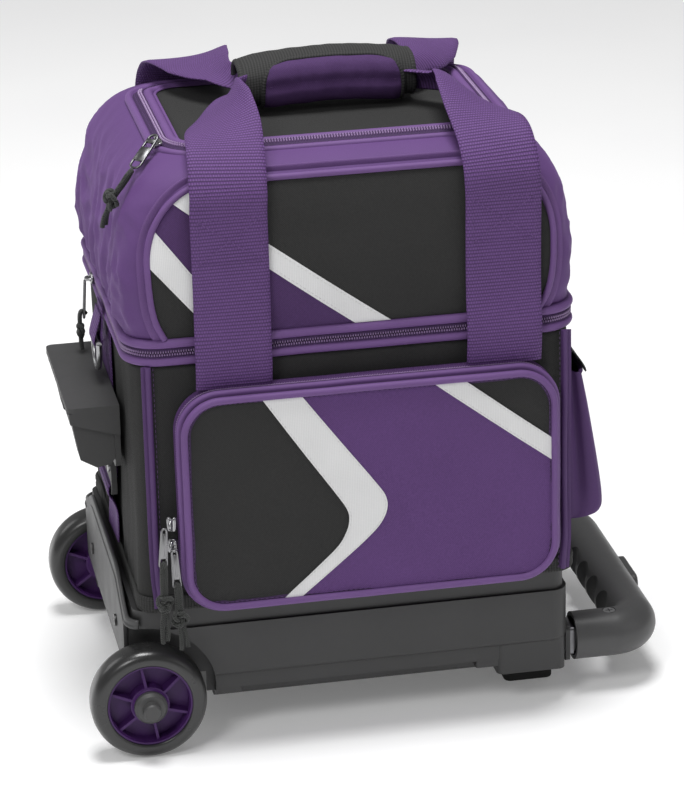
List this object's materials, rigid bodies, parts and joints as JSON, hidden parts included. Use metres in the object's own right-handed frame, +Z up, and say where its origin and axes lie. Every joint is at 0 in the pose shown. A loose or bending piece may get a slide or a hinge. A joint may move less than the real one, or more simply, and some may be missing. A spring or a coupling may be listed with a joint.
{
  "type": "bowling ball bag",
  "caption": "Two-storey wheeled bowling ball bag: moulded base with side wheels and a telescoping U handle, ball compartment, hinged shoe compartment, pocket and carry straps.",
  "frame": {"origin": "on the floor under the middle of the whole bag", "axes": "+Z up; front pocket faces -Y; wheels at -X, pull handle at +X"},
  "size_m": [0.4148, 0.2962, 0.4505],
  "materials": {
    "black_fabric": "woven polyester, matte",
    "purple_fabric": "woven polyester, matte",
    "purple_webbing": "ribbed 2 inch webbing",
    "purple_piping": "piped binding tape",
    "black_plastic": "moulded, fine grain",
    "grip_plastic": "moulded, satin",
    "purple_plastic": "moulded, satin",
    "tyre": "matte polyurethane",
    "foot_rubber": "matte",
    "hub_cap_plastic": "satin",
    "steel": "zinc plated",
    "dark_steel": "black oxide",
    "aluminium": "dark anodised",
    "foam": "closed-cell foam",
    "board": "flat sheet",
    "zip_metal": "nickel",
    "cord": "braided cord"
  },
  "bodies": {
    "root": {"base_tray": "black_plastic", "skid_panel": "black_plastic", "skid_screws": "dark_steel", "foot_pads": "foot_rubber", "wheel_axle": "steel", "front_hub_cap": "hub_cap_plastic", "back_hub_cap": "hub_cap_plastic", "outer_tubes": "aluminium", "tube_collars": "black_plastic", "floor_board": "board", "ball_cup": "foam", "lower_shell": "black_fabric", "hem_tape": "black_fabric", "lower_piping": "purple_piping", "mid_zip_lower": "purple_fabric", "pocket_gusset": "purple_fabric", "side_pocket": "purple_fabric", "side_webbing": "purple_webbing", "grab_handle": "black_plastic", "grab_handle_screws": "dark_steel", "ring_loop": "purple_webbing"},
    "front_wheel": {"front_tyre": "tyre", "front_hub": "purple_plastic"},
    "back_wheel": {"back_tyre": "tyre", "back_hub": "purple_plastic"},
    "handle_stage_1": {"stage_1_tubes": "aluminium"},
    "handle_stage_2": {"stage_2_tubes": "aluminium", "pull_grip": "grip_plastic", "grip_screws": "dark_steel"},
    "push_button": {"push_button": "grip_plastic"},
    "pocket_panel": {"pocket_panel": "black_fabric", "pocket_piping": "purple_piping"},
    "pocket_slider_1": {"pocket_slider_1": "zip_metal"},
    "pocket_pull_1": {"pocket_pull_1": "zip_metal", "pocket_cord_1": "cord"},
    "pocket_slider_2": {"pocket_slider_2": "zip_metal"},
    "pocket_pull_2": {"pocket_pull_2": "zip_metal", "pocket_cord_2": "cord"},
    "mid_slider": {"mid_slider": "zip_metal"},
    "mid_pull": {"mid_pull": "zip_metal", "mid_cord": "cord"},
    "d_ring": {"d_ring": "steel"},
    "side_flap": {"side_pocket_flap": "black_fabric"},
    "upper_compartment": {"upper_shell": "purple_fabric", "divider_floor": "black_fabric", "mid_zip_upper": "purple_fabric", "upper_piping": "purple_piping", "top_zip_tape": "purple_fabric", "front_strap_ends": "purple_webbing", "back_strap_ends": "purple_webbing"},
    "shoe_lid": {"shoe_lid": "black_fabric"},
    "front_straps": {"front_strap": "purple_webbing", "handle_wrap": "purple_fabric"},
    "back_straps": {"back_strap": "purple_webbing"},
    "top_slider": {"top_slider": "zip_metal"},
    "top_pull": {"top_pull": "zip_metal", "top_cord": "cord"}
  },
  "joints": [
    {"name": "front_wheel_spin", "type": "hinge", "parent": "root", "child": "front_wheel", "pos_m": [-0.1674, -0.12375, 0.04], "axis": [0, 1, 0], "continuous": true},
    {"name": "back_wheel_spin", "type": "hinge", "parent": "root", "child": "back_wheel", "pos_m": [-0.1674, 0.12375, 0.04], "axis": [0, 1, 0], "continuous": true},
    {"name": "handle_lower_slide", "type": "slide", "parent": "root", "child": "handle_stage_1", "axis": [1, 0, 0], "range_m": [0, 0.205]},
    {"name": "handle_upper_slide", "type": "slide", "parent": "handle_stage_1", "child": "handle_stage_2", "axis": [1, 0, 0], "range_m": [0, 0.2]},
    {"name": "button_press", "type": "slide", "parent": "handle_stage_2", "child": "push_button", "axis": [-1, 0, 0], "range_m": [0, 0.004], "stiffness_N_per_m": 600},
    {"name": "pocket_open", "type": "hinge", "parent": "root", "child": "pocket_panel", "pos_m": [-0.0109, -0.13815, 0.107], "axis": [1, 0, 0], "range_deg": [0, 75]},
    {"name": "pocket_zip_upper", "type": "slide", "parent": "root", "child": "pocket_slider_1", "axis": [0, 0, 1], "range_m": [0, 0.07]},
    {"name": "pocket_pull_1_swing", "type": "hinge", "parent": "pocket_slider_1", "child": "pocket_pull_1", "pos_m": [-0.1544, -0.13875, 0.169], "axis": [-1, 0, 0], "range_deg": [0, 70]},
    {"name": "pocket_zip_lower", "type": "slide", "parent": "root", "child": "pocket_slider_2", "axis": [0, 0, 1], "range_m": [-0.025, 0]},
    {"name": "pocket_pull_2_swing", "type": "hinge", "parent": "pocket_slider_2", "child": "pocket_pull_2", "pos_m": [-0.1459, -0.13875, 0.153], "axis": [-1, 0, 0], "range_deg": [0, 70]},
    {"name": "mid_zip_slide", "type": "slide", "parent": "root", "child": "mid_slider", "axis": [0, 1, 0], "range_m": [-0.028, 0.05]},
    {"name": "mid_pull_swing", "type": "hinge", "parent": "mid_slider", "child": "mid_pull", "pos_m": [-0.179, 0.04125, 0.287], "axis": [0, 1, 0], "range_deg": [0, 70]},
    {"name": "d_ring_swing", "type": "hinge", "parent": "root", "child": "d_ring", "pos_m": [-0.178, -0.01175, 0.2645], "axis": [0, 1, 0], "range_deg": [0, 80]},
    {"name": "side_flap_open", "type": "hinge", "parent": "root", "child": "side_flap", "pos_m": [0.1346, 0, 0.2594], "axis": [0, -1, 0], "range_deg": [0, 100]},
    {"name": "upper_open", "type": "hinge", "parent": "root", "child": "upper_compartment", "pos_m": [-0.0179, 0.12545, 0.28955], "axis": [-1, 0, 0], "range_deg": [0, 95]},
    {"name": "lid_open", "type": "hinge", "parent": "upper_compartment", "child": "shoe_lid", "pos_m": [-0.0179, 0.07985, 0.4155], "axis": [-1, 0, 0], "range_deg": [0, 105], "deforming": ["front_strap", "back_strap", "handle_wrap"]},
    {"name": "front_straps_fall", "type": "hinge", "parent": "upper_compartment", "child": "front_straps", "pos_m": [-0.0179, -0.13275, 0.3852], "axis": [1, 0, 0], "range_deg": [0, 190]},
    {"name": "back_straps_fall", "type": "hinge", "parent": "upper_compartment", "child": "back_straps", "pos_m": [-0.0179, 0.13275, 0.3852], "axis": [-1, 0, 0], "range_deg": [0, 190]},
    {"name": "top_zip_slide", "type": "slide", "parent": "upper_compartment", "child": "top_slider", "axis": [0, 1, 0], "range_m": [0, 0.125]},
    {"name": "top_pull_swing", "type": "hinge", "parent": "top_slider", "child": "top_pull", "pos_m": [-0.1379, -0.06825, 0.4222], "axis": [-0.6961, 0.7179, 0], "range_deg": [0, 80]}
  ],
  "couplings": [
    {"joint": "front_straps_fall", "follows": "lid_open", "ratio": 1.8},
    {"joint": "back_straps_fall", "follows": "lid_open", "ratio": 1.8}
  ]
}
